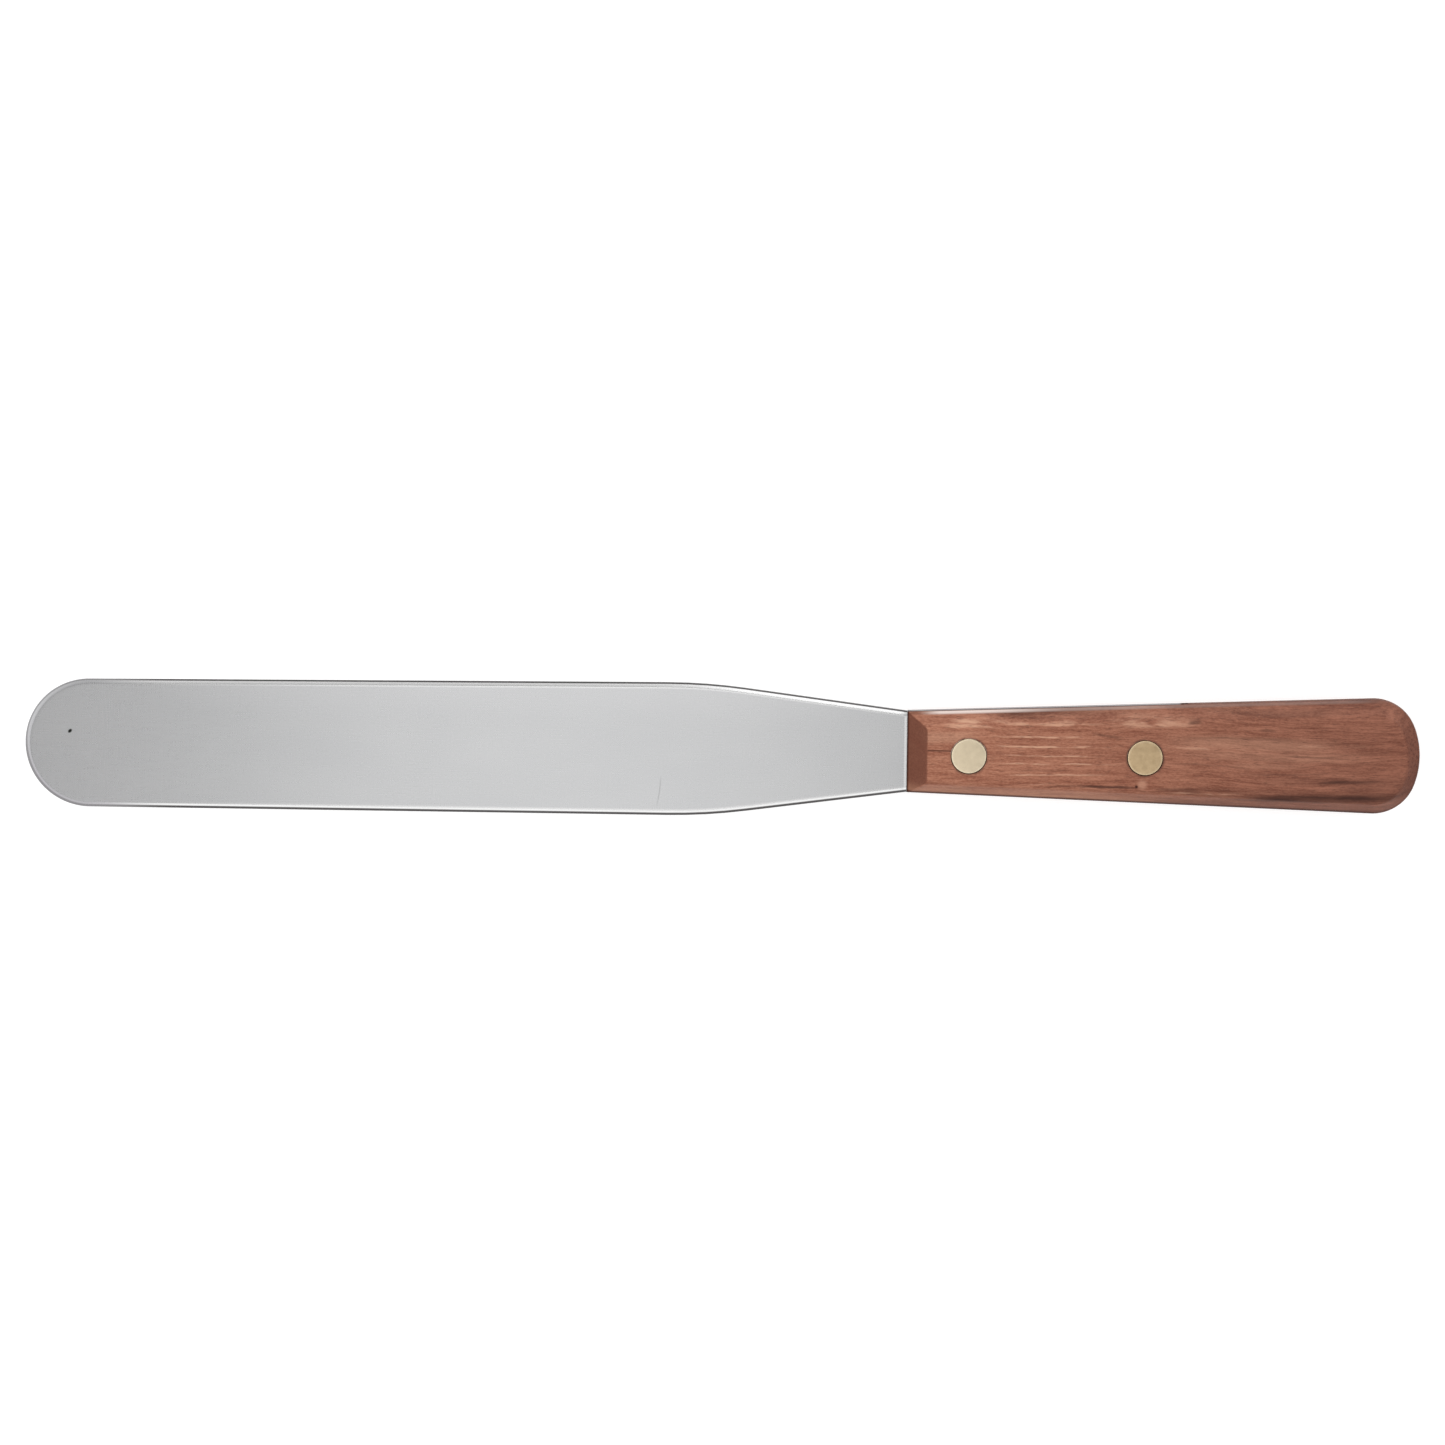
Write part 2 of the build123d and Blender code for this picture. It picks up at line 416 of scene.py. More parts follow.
# ---- nodes ----
class Nodes:
    """A node tree, with a short call for each kind of node that the looks here are made of."""

    def __init__(self, tree):
        self.tree = tree

    def feed(self, socket, value):
        """Links another node's output to the socket, or sets a number or an RGB colour on it."""
        if isinstance(value, bpy.types.NodeSocket):
            self.tree.links.new(value, socket)
        elif socket.type == "RGBA":
            socket.default_value = (*value, 1.0)
        else:
            socket.default_value = value

    def node(self, kind, *values, **settings):
        """A new node with these settings and with these values fed to its first inputs."""
        node = self.tree.nodes.new(kind)
        for name, setting in settings.items():
            setattr(node, name, setting)
        for socket, value in zip(node.inputs, values):
            self.feed(socket, value)
        return node

    def math(self, operation, *values):
        return self.node("ShaderNodeMath", *values, operation=operation).outputs[0]

    def less(self, value, amount):
        return self.math("SUBTRACT", value, amount)

    def product(self, first, *others):
        for other in others:
            first = self.math("MULTIPLY", first, other)
        return first

    def largest(self, first, *others):
        for other in others:
            first = self.math("MAXIMUM", first, other)
        return first

    def total(self, base, *parts):
        """The base with parts added, each of them a value and its weight."""
        for value, weight in parts:
            base = self.math("MULTIPLY_ADD", value, weight, base)
        return base

    def distance(self, x, y):
        return self.math("SQRT", self.total(self.product(y, y), (x, x)))

    def split(self, vector):
        return tuple(self.node("ShaderNodeSeparateXYZ", vector).outputs)

    def join(self, x, y, z):
        return self.node("ShaderNodeCombineXYZ", x, y, z).outputs[0]

    def noise(self, place, scale, detail=2, roughness=0.5):
        """Noise with so many cells per unit of place along each of its three axes."""
        scaled = self.node("ShaderNodeVectorMath", place, scale, operation="MULTIPLY")
        noise = self.node("ShaderNodeTexNoise", scaled.outputs[0])
        noise.inputs["Scale"].default_value = 1
        noise.inputs["Detail"].default_value = detail
        noise.inputs["Roughness"].default_value = roughness
        return noise.outputs[0]

    def rise(self, value, low, high, start=0.0, end=1.0):
        """Runs smoothly from start, where the value is low, to end, where it is high."""
        numbers = (value, low, high, start, end)
        node = self.node("ShaderNodeMapRange", *numbers, interpolation_type="SMOOTHSTEP")
        return node.outputs[0]

    def fall(self, value, low, high, start=1.0, end=0.0):
        """The same, but from 1 to 0 where start and end aren't given."""
        return self.rise(value, low, high, start, end)

    def mix(self, share, first, second):
        """The first colour where the share is 0, and the second where it is 1."""
        node = self.node("ShaderNodeMix", share, data_type="RGBA")
        colours = [socket for socket in node.inputs if socket.type == "RGBA"]
        for socket, colour in zip(colours, (first, second)):
            self.feed(socket, colour)
        return next(socket for socket in node.outputs if socket.type == "RGBA")


class Surface(Nodes):
    """A material, and the places on a piece that its looks depend on."""

    def __init__(self, name):
        self.material = bpy.data.materials.new(name)
        self.material.use_nodes = True
        super().__init__(self.material.node_tree)
        self.shader = self.tree.nodes["Principled BSDF"]

    def set(self, name, value):
        self.feed(self.shader.inputs[name], value)

    def place(self):
        """The place in the knife, in millimetres, as a vector."""
        place = self.node("ShaderNodeTexCoord").outputs["Object"]
        in_mm = self.node("ShaderNodeVectorMath", place, operation="SCALE")
        in_mm.inputs["Scale"].default_value = 1 / MM
        return in_mm.outputs[0]

    def inset(self):
        """How far a place is inside the outline of the blade or handle, in millimetres."""
        inset = self.node("ShaderNodeAttribute", attribute_name="inset")
        return self.product(inset.outputs["Fac"], 1 / MM)

    def spot(self, x, y, centre_x, centre_y, inner, outer):
        """A round spot: 1 within its inner radius, fading to 0 at its outer one."""
        from_centre = self.distance(self.less(x, centre_x), self.less(y, centre_y))
        return self.fall(from_centre, inner, outer)

    def set_bump(self, height, distance, strength):
        bump = self.node("ShaderNodeBump")
        self.feed(bump.inputs["Height"], height)
        bump.inputs["Distance"].default_value = distance
        bump.inputs["Strength"].default_value = strength
        self.set("Normal", bump.outputs[0])


# ---- materials ----
# In these functions places are in millimetres, noise scales are cells per millimetre along x, y
# and z, and colours are linear RGB.
STEEL = (0.600, 0.604, 0.612)
STEEL_CLOUD = (0.650, 0.652, 0.655)
STEEL_GRINDING = (0.50, 0.50, 0.50)
# painted sheen: the steel is lighter towards its tip and its +Y side
STEEL_PAINTED_SHEEN = (0.72, 0.715, 0.725)
BEVEL_PAINTED_SHADE = ((0.43, 0.42, 0.44), (0.50, 0.50, 0.51))  # painted shade on the bevel, on the -Y side and on the +Y side
# painted highlight on the bevel, on the -Y side and on the +Y side
BEVEL_PAINTED_HIGHLIGHT = ((0.76, 0.76, 0.76), (0.92, 0.92, 0.92))
# painted highlight in a line across the blade by the handle
NECK_PAINTED_HIGHLIGHT = (0.86, 0.86, 0.86)
# the tang's side is painted dark: painted shade along the handle's outline
TANG_PAINTED_SHADE = (0.13, 0.125, 0.13)
# painted shade in a dark line along the blade's rim
RIM_PAINTED_SHADE = (0.09, 0.085, 0.085)
PIT = (0.02, 0.02, 0.018)
SCRATCH = (0.30, 0.30, 0.30)


def steel():
    """Satin steel with fine grinding both ways, and a painted sheen towards its tip and its +Y side.
    Its bevel has painted shade round the tip and a painted highlight along the sides, both lighter on
    the +Y side; its rim has a dark line of painted shade; the tang's side is painted dark as shade;
    and a painted highlight line crosses the blade just before the handle."""
    surface = Surface("satin_steel")
    place = surface.place()
    inset = surface.inset()
    x, y, _ = surface.split(place)
    from_tip = surface.less(x, X_TIP / MM)
    from_neck = surface.less(x, X_NECK / MM)
    upper = surface.rise(y, -9, 9)
    along = surface.noise(place, (0.15, 9.0, 9.0), detail=4, roughness=0.65)
    across = surface.noise(place, (6.0, 0.2, 6.0), detail=3, roughness=0.6)
    cloud = surface.noise(place, (0.05, 0.09, 0.09))

    # Painted sheen: lighter towards the tip and towards the +Y side.
    painted_sheen = surface.largest(surface.fall(from_tip, 5, 50, 0.45), surface.rise(y, 5, 14, 0.0, 0.3))
    colour = surface.mix(cloud, STEEL, STEEL_CLOUD)
    colour = surface.mix(surface.product(along, 0.02), colour, STEEL_GRINDING)
    colour = surface.mix(painted_sheen, colour, STEEL_PAINTED_SHEEN)

    # The tang's side shows in the kerf, and has none of the blade's edge.
    bevel_width = EDGE_BEVEL_WIDTH / MM
    on_blade = surface.fall(from_neck, -0.1, 0)
    past_tip = surface.rise(from_tip, 12, 34)
    # bevel: painted shade round the tip. bright: a painted highlight along the sides, where the bevel
    # is also smoother. Both are lighter on the +Y side.
    bevel = surface.product(surface.fall(inset, bevel_width - 0.2, bevel_width + 0.3), on_blade)
    bright = surface.product(surface.fall(inset, bevel_width, bevel_width + 0.5), on_blade, past_tip)
    widened = surface.rise(y, -5, 5, 0.16, -0.07)  # the rim's painted shade is wider on the -Y side
    # A dark line of painted shade along the blade's rim.
    rim = surface.fall(surface.less(inset, widened), 0.30, 0.52)
    rim = surface.product(rim, on_blade, surface.total(0.5, (past_tip, 0.5)))
    # A painted highlight line across the blade just before the handle.
    neck_highlight = surface.product(surface.rise(from_neck, -0.75, -0.5), surface.fall(from_neck, -0.2, -0.05))
    # The tang's side is painted dark, as shade along the handle's outline.
    tang = surface.rise(from_neck, -0.05, 0.05)
    scratch = hairline(surface, from_tip, y)
    colour = surface.mix(bevel, colour, surface.mix(upper, *BEVEL_PAINTED_SHADE))
    colour = surface.mix(bright, colour, surface.mix(upper, *BEVEL_PAINTED_HIGHLIGHT))
    colour = surface.mix(neck_highlight, colour, NECK_PAINTED_HIGHLIGHT)
    colour = surface.mix(tang, colour, TANG_PAINTED_SHADE)
    colour = surface.mix(rim, colour, RIM_PAINTED_SHADE)
    colour = surface.mix(pit(surface, from_tip, y), colour, PIT)
    colour = surface.mix(surface.product(scratch, 0.4), colour, SCRATCH)

    surface.set("Base Color", colour)
    surface.set("Metallic", 1.0)
    surface.set("Roughness", surface.total(0.22, (along, 0.08), (across, 0.04), (bright, -0.08)))
    grinding = surface.total(along, (across, 1.0), (scratch, -1.0))
    surface.set_bump(grinding, distance=0.002 * MM, strength=0.1)
    return surface.material


def pit(surface, from_tip, y):
    """A small dark pit near the blade's tip, a little longer one way than the other."""
    behind_tip = 10.1
    off_centre = 2.7
    right = surface.less(from_tip, behind_tip)
    up = surface.less(y, off_centre)
    long_way = surface.product(surface.total(right, (up, 1.0)), 0.6)
    short_way = surface.product(surface.less(right, up), 0.9)
    return surface.fall(surface.distance(long_way, short_way), 0.30, 0.58)


def hairline(surface, from_tip, y):
    """A faint curved scratch across the lower half of the blade, before its shoulder."""
    behind_tip = 144.2
    inner_end = -5.6
    outer_end = -14.4
    bow = -1.2
    share = surface.math("DIVIDE", surface.less(y, inner_end), outer_end - inner_end)
    line = surface.total(behind_tip, (surface.product(share, share), bow))
    away = surface.math("ABSOLUTE", surface.less(from_tip, line))
    return surface.product(surface.fall(away, 0.05, 0.2), fading_ends(surface, share))


def fading_ends(surface, share):
    """1 in the middle of a mark's length and 0 past its ends, share being 0 to 1 along it."""
    return surface.product(surface.rise(share, 0, 0.3), surface.fall(share, 0.6, 1.0))


# The wood's figure: darker and paler streaks, in millimetres. Each starts so far behind the
# handle's front and so far to its +Y side, has a length, a rise over that length, and a width.
DARK_STREAKS = (
    # start, side, length, rise, width, strength
    (68, -9.0, 56, 0.4, 3.3, 1.0),
    (88, -8.7, 22, 0.1, 1.4, 0.7),
    (90, -5.0, 22, 0.1, 1.2, 0.85),
    (83, 1.5, 17, -1.2, 0.6, 0.45),
    (79, 6.8, 5, -0.1, 0.8, 0.6),
    (36, -6.4, 19, -0.5, 0.8, 1.0),
    (54, -6.9, 17, -0.8, 1.2, 0.65),
    (63, 8.4, 4, 0.1, 0.9, 0.75),
    (50, -7.4, 60, -0.3, 3.0, 0.32),
    (76, -4.6, 38, 0.0, 2.6, 0.30),
    (92, -5.8, 30, 0.2, 5.0, 0.33),
    (30, -6.7, 12, 0.3, 0.8, 0.45),
    (52, -7.6, 22, 0.2, 0.6, 0.35),
    (41, 6.0, 9, -1.5, 0.9, 0.5),
    (57, -1.0, 24, -0.9, 0.6, 0.4),
    (60, 4.9, 34, -0.3, 0.7, 0.35),
    (72, -3.2, 30, 0.4, 0.7, 0.35),
    (8, -8.1, 9, -0.5, 0.5, 0.45),
    (22, -3.0, 18, 0.2, 0.6, 0.3),
    (8, 8.5, 46, 1.0, 1.8, 0.7),
    (62, -8.2, 24, -0.3, 1.6, 0.4),
    (64, 9.6, 40, 0.8, 1.0, 0.35),
)
PALE_STREAKS = (
    (7, 6.7, 15, 0.1, 0.8, 0.8),
    (9, 7.3, 9, 0.0, 0.5, 0.9),
    (14, 7.6, 34, 0.3, 0.6, 0.7),
    (17, 4.9, 28, 0.2, 0.6, 0.75),
    (14, 2.7, 40, 0.1, 0.6, 0.8),
    (19, 0.6, 30, -0.1, 0.5, 0.6),
    (17, -1.4, 34, 0.1, 0.5, 0.65),
    (20, -3.9, 28, 0.1, 0.6, 0.6),
    (24, -6.1, 20, 0.1, 0.5, 0.4),
    (44, 8.0, 24, 0.2, 1.9, 0.6),
    (56, 2.6, 26, -0.4, 0.9, 0.4),
    (58, -8.0, 20, 0.2, 0.6, 0.6),
    (84, 3.6, 22, -0.4, 1.2, 0.3),
)
PALE_BANDS = (
    (1, 4.0, 17, 0.8, 3.4, 0.30),
    (54, 4.1, 50, -1.0, 4.0, 0.22),
    (56, 1.2, 56, -0.6, 3.4, 0.15),
    (70, -1.2, 24, 0.1, 2.0, 0.12),
)
CRACK = (-2, 1.25, 17, -0.1, 0.42, 1.0)  # from the front facet to the front rivet

FRONT_WOOD = ((0.204, 0.070, 0.042), (0.400, 0.180, 0.114))  # the grain's dark and light
# at the butt: the wood's darker tone together with a painted falloff of light
REAR_WOOD_AND_PAINTED_FALLOFF = ((0.120, 0.042, 0.027), (0.285, 0.117, 0.076))
PALE_STREAK = (0.56, 0.32, 0.215)
DARK_STREAK = (0.042, 0.018, 0.014)
CRACK_COLOUR = (0.09, 0.033, 0.022)
PORE = (0.085, 0.035, 0.025)
RIVET_STAIN = (0.10, 0.045, 0.03)
KNOT = (0.52, 0.28, 0.19)
SPECK = (0.05, 0.017, 0.012)
# end grain's own darkness together with painted shade on the front facets and the butt
END_GRAIN_AND_SHADE = ((0.061, 0.019, 0.012), (0.240, 0.091, 0.058))
OPEN_PORE = (0.055, 0.018, 0.012)
# painted highlight along the +Y crease near the front
EDGE_PAINTED_HIGHLIGHT = (0.98, 0.83, 0.76)
# painted shade on the side beside the tang
KERF_PAINTED_SHADE = (0.035, 0.022, 0.020)
LOW_BEVEL_PALE_FRONT = (0.56, 0.30, 0.19)
# painted shade on the -Y bevel, behind its paler front
LOW_BEVEL_PAINTED_SHADE = (0.085, 0.031, 0.021)
# painted shade in a thin line along the handle's outline
EDGE_LINE_PAINTED_SHADE = (0.055, 0.020, 0.014)
# painted shade in a thin line at the handle's front edge
NECK_PAINTED_SHADE = (0.030, 0.008, 0.006)


class Wood(Surface):
    """Straight-grained reddish wood, solid all through, so its sides and end show the same grain."""

    def __init__(self):
        super().__init__("rosewood")
        self.point = self.place()
        self.x, self.y, z = self.split(self.point)
        self.along = self.less(self.x, X_NECK / MM)
        self.depth = self.less(z, Z_TOP / MM)
        self.above = self.less(z, Z_MIDDLE / MM)
        self.off_middle = self.math("ABSOLUTE", self.above)

        # The grain wanders, leans through the handle's thickness and runs out a little at the rear.
        wander = self.noise(self.point, (0.025, 0.04, 0.04))
        ripple = self.noise(self.point, (0.16, 0.35, 0.35))
        wandering = ((self.less(wander, 0.5), 2.0), (self.less(ripple, 0.5), 0.6))
        self.side = self.total(self.y, (self.depth, 0.3), *wandering)
        runout = self.rise(self.along, 52, 100, 0.0, 1.7)
        grain = self.join(self.along, self.total(self.side, (runout, 1.0)), self.depth)

        self.bands = self.noise(grain, (0.012, 0.28, 0.1))
        self.flames = self.noise(grain, (0.09, 0.8, 0.3), detail=3, roughness=0.6)
        self.fibres = self.noise(grain, (0.16, 2.6, 1.2), detail=3, roughness=0.6)
        self.threads = self.noise(grain, (0.5, 9.0, 5.0), roughness=0.6)
        flecks = self.noise(grain, (1.3, 3.6, 2.4), detail=4, roughness=0.7)
        self.mottling = self.less(flecks, 0.5)
        self.patches = self.noise(grain, (0.22, 0.9, 0.5), detail=3)
        self.pores = self.rise(self.noise(grain, (0.45, 5.5, 4.0), detail=1), 0.60, 0.70)
        past_facet = self.rise(self.along, FACET_LENGTH / MM - 0.2, FACET_LENGTH / MM + 0.2)
        self.crack = self.product(self.streak(self.y, *CRACK), past_facet)

        # End grain is where the surface faces along the handle: the front facets and the butt.
        facing, _, _ = self.split(self.node("ShaderNodeTexCoord").outputs["Normal"])
        at_front = self.fall(facing, -0.7, -0.3)
        self.at_butt = self.rise(self.total(facing, (self.mottling, 0.5)), 0.4, 0.95, 0.0, 0.9)
        self.ended = self.largest(at_front, self.at_butt)

    def streak(self, side, start, offset, length, rise, width, strength):
        """How strongly a streak shows: full in its middle, none past its sides and ends."""
        share = self.math("DIVIDE", self.less(self.along, start), length)
        line = self.total(offset, (share, rise))
        away = self.math("ABSOLUTE", self.less(side, line))
        across = self.fall(away, 0.1 * width, 0.6 * width)
        return self.product(across, fading_ends(self, share), strength)

    def streaks(self, rows):
        return self.largest(*[self.streak(self.side, *row) for row in rows])

    def figure(self):
        """The grain's colours, darker towards the butt as the wood's tone and as painted falloff of
        light, then the streaks, the crack and pores.
        """
        # rear: darker towards the butt, as the wood's tone and as painted falloff of light.
        rear = self.rise(self.along, 5, 120)
        fleck_weight = self.total(0.78, (rear, -0.32))
        broad = ((self.bands, 0.30), (self.flames, 0.50), (self.fibres, 0.50))
        tone = self.total(0.0, *broad, (self.threads, 0.15), (self.mottling, fleck_weight))
        dark, light = [self.mix(rear, *colours) for colours in zip(FRONT_WOOD, REAR_WOOD_AND_PAINTED_FALLOFF)]
        colour = self.mix(self.rise(tone, 0.47, 0.98), dark, light)

        broken = self.product(self.streaks(PALE_STREAKS), self.rise(self.patches, 0.32, 0.62))
        colour = self.mix(self.largest(broken, self.streaks(PALE_BANDS)), colour, PALE_STREAK)
        shade = self.product(self.streaks(DARK_STREAKS), self.fall(self.flames, 0.25, 0.6, end=0.7))
        colour = self.mix(shade, colour, DARK_STREAK)
        colour = self.mix(self.crack, colour, CRACK_COLOUR)
        return self.mix(self.product(self.pores, 0.5), colour, PORE)

    def marks_by_rivets(self, colour):
        """An uneven stain round each rivet, and a pale knot and a dark speck beside the rear one."""
        uneven = self.rise(self.noise(self.point, (0.3, 0.3, 0.3)), 0.38, 0.6, 0.35, 1.0)
        front, rear = [rivet_centre(place) / MM for place in RIVETS]
        head = head_radius("front") / MM
        for centre in (front, rear):
            stain = self.spot(self.x, self.y, centre.x, centre.y, head, head + 0.75)
            colour = self.mix(self.product(stain, uneven), colour, RIVET_STAIN)
        knot = self.spot(self.x, self.y, rear.x - 0.6, rear.y - 6.1, 0.4, 1.6)
        speck = self.spot(self.x, self.y, rear.x - 1.9, rear.y - 6.6, 0.15, 0.5)
        colour = self.mix(self.product(knot, 0.45), colour, KNOT)
        return self.mix(speck, colour, SPECK)

    def end_grain(self, colour):
        """End grain drinks more oil and is darker, and its colour also carries painted shade on the
        front facets and the butt; on the butt its pores are open.
        """
        dots = self.noise(self.point, (0.6, 3.5, 3.5), detail=3, roughness=0.7)
        # Darker end grain, partly the wood's own and partly painted shade.
        colour = self.mix(self.product(self.ended, 0.88), colour, self.mix(dots, *END_GRAIN_AND_SHADE))
        holes = self.noise(self.point, (1.0, 1.6, 1.6), detail=3, roughness=0.7)
        open_pores = self.product(self.rise(holes, 0.50, 0.64, 0.0, 0.75), self.at_butt)
        return self.mix(open_pores, colour, OPEN_PORE)

    def edges(self, colour):
        """A painted highlight line along the +Y side, painted shade beside the tang, at the neck and
        in a thin line along the outline, and a -Y bevel that is paler in front and has painted shade
        behind."""
        inset = self.inset()
        kerf_end = KERF_LENGTH / MM
        # A painted highlight line along the +Y side's upper crease, near the front.
        edge_highlight = self.product(
            self.fall(inset, 0.35, 0.80),
            self.rise(self.y, 0, 1),
            self.rise(self.above, 1.2, 1.5),
            self.rise(self.along, 2, 8),
            self.fall(self.along, 16, 38, end=0.3),
            self.fall(self.along, 46, 66, end=0.45),
            self.fall(self.along, 100, 110),
        )
        # Painted shade on the side beside the tang, fading past the kerf's end.
        kerf_shade = self.product(
            self.fall(self.off_middle, 1.1, 1.35, 0.8),
            self.fall(self.along, kerf_end - 4.5, kerf_end + 1.5, end=0.2),
            self.fall(inset, 0.2, 0.4),
        )
        # The -Y bevel: paler in front, painted shade behind.
        low_bevel_shading = self.product(self.fall(inset, 0.9, 3.4, 0.24), self.fall(self.y, -1, 1))
        beside_kerf = self.rise(self.off_middle, 0.8, 1.2)
        # A thin dark line of painted shade along the outline, strongest on the -Y side.
        edge_shade_line = self.product(
            self.fall(inset, 0.45, 0.85),
            self.fall(self.y, -1, 0, beside_kerf, 0.4),
            self.fall(self.along, 104, 112, 0.9, 0.25),
        )
        colour = self.mix(edge_highlight, colour, EDGE_PAINTED_HIGHLIGHT)
        colour = self.mix(kerf_shade, colour, KERF_PAINTED_SHADE)
        low_bevel_tone = self.mix(self.rise(self.along, 35, 72), LOW_BEVEL_PALE_FRONT, LOW_BEVEL_PAINTED_SHADE)
        colour = self.mix(low_bevel_shading, colour, low_bevel_tone)
        colour = self.mix(edge_shade_line, colour, EDGE_LINE_PAINTED_SHADE)
        # Painted shade in a thin line at the handle's front edge, by the blade.
        return self.mix(self.fall(self.along, 0.15, 0.55, 0.8), colour, NECK_PAINTED_SHADE)


def wood():
    surface = Wood()
    colour = surface.figure()
    colour = surface.marks_by_rivets(colour)
    colour = surface.end_grain(colour)
    colour = surface.edges(colour)
    surface.set("Base Color", colour)
    surface.set("Roughness", surface.total(0.40, (surface.fibres, 0.2), (surface.ended, 0.2)))
    surface.set("Specular IOR Level", 0.06)
    hollows = ((surface.pores, -1.2), (surface.crack, -1.0))
    height = surface.total(surface.fibres, (surface.threads, 1.0), *hollows)
    surface.set_bump(height, distance=0.03 * MM, strength=0.5)
    return surface.material


FRONT_BRASS = ((0.70, 0.585, 0.41), (0.84, 0.71, 0.51))
REAR_BRASS = ((0.56, 0.40, 0.225), (0.72, 0.54, 0.325))
BRASS_SPECK = (0.40, 0.29, 0.16)
# a paler rim on each head: wear and painted highlight
BRASS_RIM_WEAR_AND_HIGHLIGHT = (0.92, 0.82, 0.62)


def brass():
    """Brass filed flush with the wood, a little mottled. The rear rivet is darker and more yellow."""
    surface = Surface("rivet_brass")
    place = surface.place()
    x, y, _ = surface.split(place)
    mottle = surface.noise(place, (0.7, 0.7, 0.7), detail=4, roughness=0.6)
    file_marks = surface.noise(place, (1.2, 14.0, 8.0))
    specks = surface.noise(place, (3.0, 3.0, 3.0), detail=3, roughness=0.7)
    specks = surface.rise(specks, 0.60, 0.72, 0.0, 0.35)

    front, rear = [rivet_centre(place).x / MM for place in RIVETS]
    at_rear = surface.math("GREATER_THAN", x, (front + rear) / 2)
    radii = [surface.distance(surface.less(x, centre), y) for centre in (front, rear)]
    # A paler rim on each head, as wear and painted highlight, weaker on the rear rivet.
    rim = surface.rise(surface.math("MINIMUM", *radii), 3.35, 3.75)
    rim = surface.product(rim, surface.total(0.3, (at_rear, -0.14)))

    front_colour = surface.mix(mottle, *FRONT_BRASS)
    colour = surface.mix(at_rear, front_colour, surface.mix(mottle, *REAR_BRASS))
    colour = surface.mix(specks, colour, BRASS_SPECK)
    surface.set("Base Color", surface.mix(rim, colour, BRASS_RIM_WEAR_AND_HIGHLIGHT))
    surface.set("Metallic", 1.0)
    surface.set("Roughness", surface.total(0.24, (mottle, 0.16), (file_marks, 0.08)))
    surface.set_bump(surface.total(file_marks, (specks, -2.0)), distance=0.006 * MM, strength=0.4)
    return surface.material


# ---- stage ----
WHITE = (1.0, 1.0, 1.0)
FLOOR_GREY = (0.55, 0.55, 0.55)


def make_floor():
    """A pale table that glows a little, so that it stays white round the knife."""
    bm = bmesh.new()
    bmesh.ops.create_grid(bm, x_segments=1, y_segments=1, size=4.0)
    floor = as_object("floor", bm)
    surface = Surface("white_table")
    surface.set("Base Color", FLOOR_GREY)
    surface.set("Roughness", 0.9)
    surface.set("Specular IOR Level", 0.1)
    surface.set("Emission Color", WHITE)
    surface.set("Emission Strength", 0.60)
    floor.data.materials.append(surface.material)


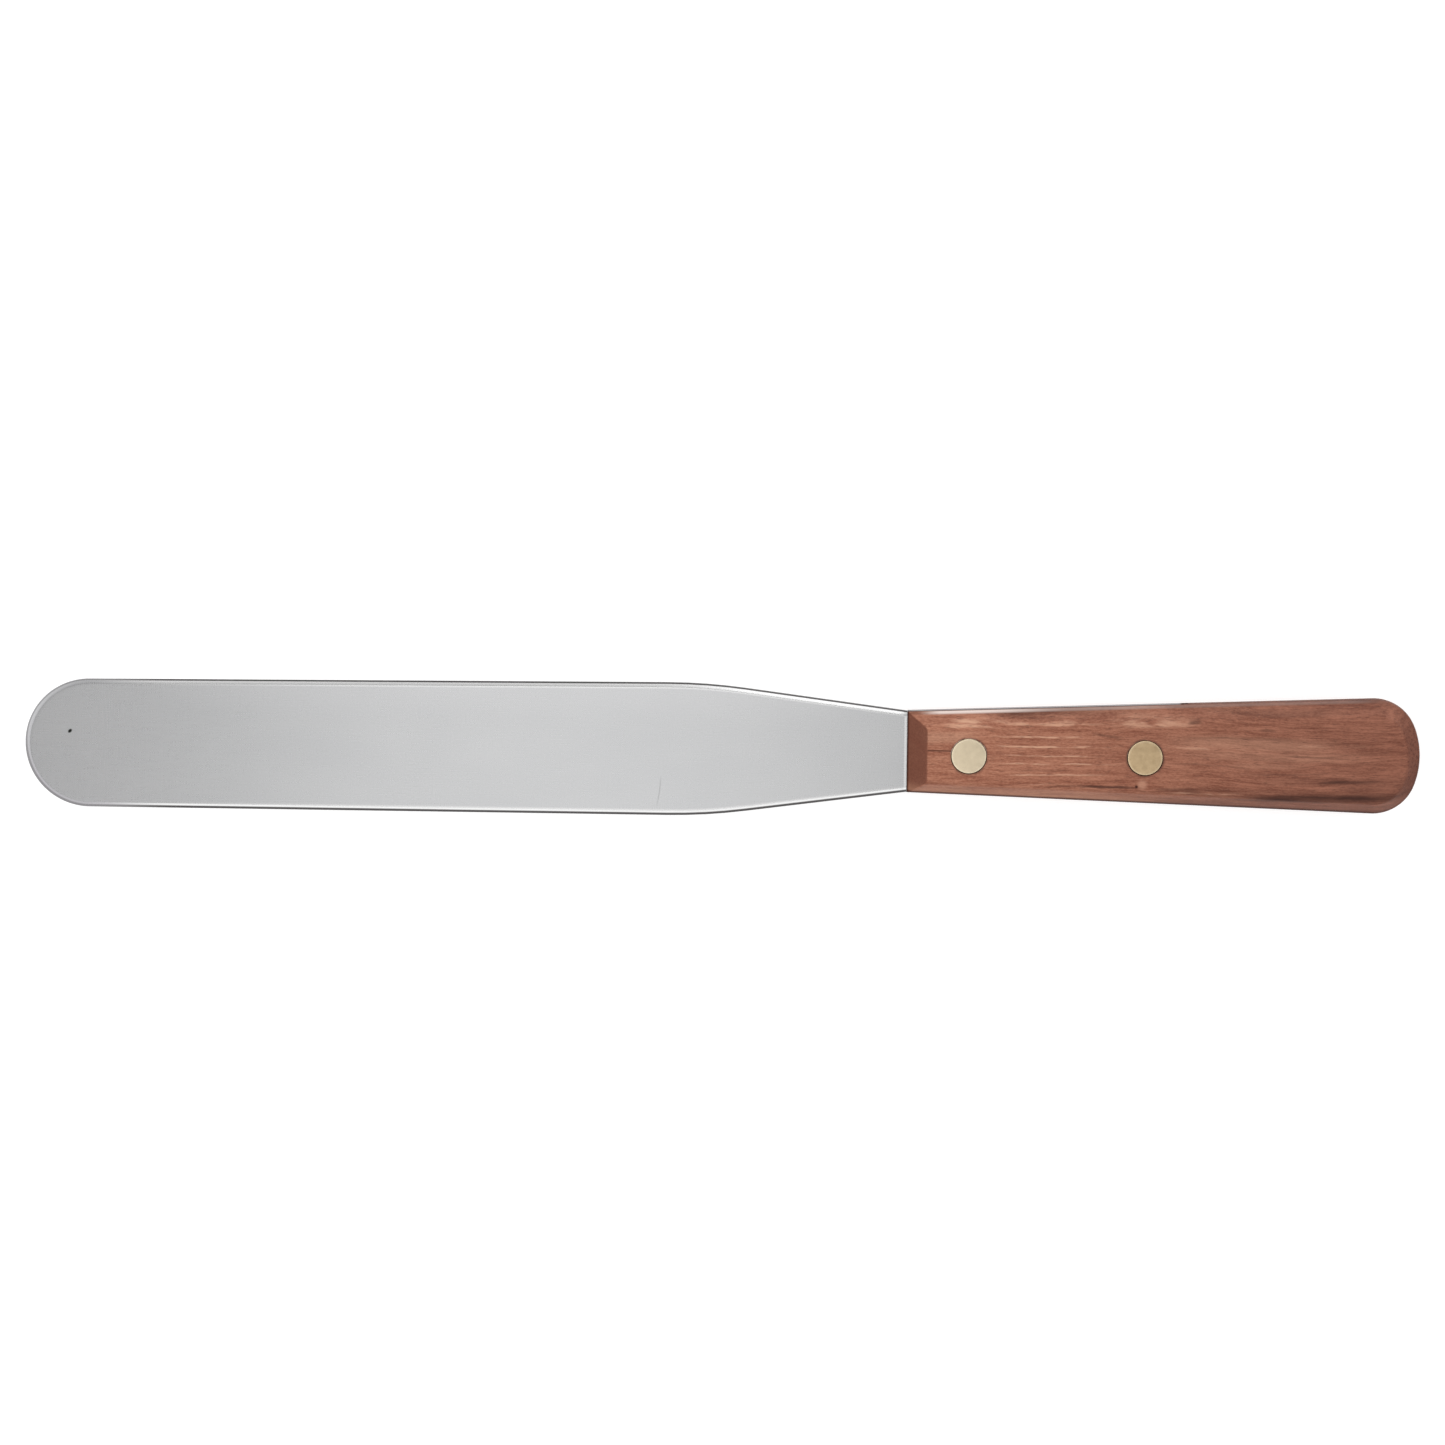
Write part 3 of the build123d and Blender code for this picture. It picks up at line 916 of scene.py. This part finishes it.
def make_sky():
    """A white surround: dim straight overhead, brightest round that, dimmer again at the horizon,
    and a little brighter on the +Y side.

    Directions run from -1 to 1 along each axis, so upward is 1 straight overhead. Low reflections
    of the bright part are held back, so that the steel keeps its grey when seen from the sides."""
    highest_reflection = 0.90
    world = bpy.data.worlds.new("white_surround")
    world.use_nodes = True
    bpy.context.scene.world = world
    sky = Nodes(world.node_tree)
    _, across, upward = sky.split(sky.node("ShaderNodeTexCoord").outputs["Generated"])
    overhead = sky.fall(upward, 0.80, 1.0, 1.65, 0.28)
    horizon = sky.rise(upward, 0.25, 0.7, 0.45, 1.0)
    far_side = sky.rise(across, -0.9, 0.9, 0.78, 1.22)
    strength = sky.product(overhead, horizon, far_side)

    held = sky.math("MINIMUM", strength, highest_reflection)
    is_reflection = sky.node("ShaderNodeLightPath").outputs["Is Glossy Ray"]
    share = sky.product(sky.fall(upward, 0.70, 0.80), is_reflection)
    strength = sky.total(strength, (sky.less(held, strength), share))
    background = sky.tree.nodes["Background"]
    sky.feed(background.inputs["Strength"], strength)
    sky.feed(background.inputs["Color"], WHITE)


def make_softbox(name, place, target, width, length, watts):
    light = bpy.data.lights.new(name, "AREA")
    light.shape = "RECTANGLE"
    light.size = width
    light.size_y = length
    light.energy = watts
    lamp = bpy.data.objects.new(name, light)
    bpy.context.scene.collection.objects.link(lamp)
    lamp.location = place
    lamp.rotation_euler = (target - place).to_track_quat("-Z", "Y").to_euler()
    lamp.visible_camera = False


def make_camera():
    """Nearly straight down, leaning a little to the +Y side, through a long lens."""
    lean = radians(9.3)
    roll = radians(0.6)
    distance = 2.0
    frame_width = 1.0367 * OVERALL_LENGTH  # the knife nearly fills the picture's width
    rise = 0.0184 * frame_width  # the knife lies a little under the middle of the picture
    camera = bpy.data.cameras.new("camera")
    camera.sensor_width = 36
    camera.lens = camera.sensor_width * distance / frame_width
    camera.clip_end = 10 * distance
    eye = bpy.data.objects.new("camera", camera)
    bpy.context.scene.collection.objects.link(eye)
    away = Vector((0, sin(lean), cos(lean)))
    level_up = Vector((0, cos(lean), -sin(lean)))
    level_right = Vector((1, 0, 0))
    up = level_up * cos(roll) - level_right * sin(roll)
    right = level_right * cos(roll) + level_up * sin(roll)
    eye.location = Vector((0, 0, Z_MIDDLE)) + up * rise + away * distance
    eye.rotation_euler = Matrix((right, up, away)).transposed().to_euler()
    bpy.context.scene.camera = eye


def make_lights():
    """A large softbox over the blade, and a small one behind that catches the +Y edges."""
    over_blade = Vector((-0.045, -0.082, 0.5))
    blade_middle = Vector((-0.045, 0, 0))
    make_softbox("overhead", over_blade, blade_middle, width=0.20, length=0.25, watts=0.110)
    behind_handle = Vector((0.055, 0.17, 0.5))
    handle_edge = Vector((0.02, 0.012, 0))
    make_softbox("rim", behind_handle, handle_edge, width=0.08, length=0.10, watts=0.024)


make_blade(steel())
make_handle(wood())
rivet_metal = brass()
for place in RIVETS:
    make_rivet(place, rivet_metal)
make_floor()
make_sky()
make_lights()
make_camera()
bpy.context.scene.view_settings.view_transform = "Standard"
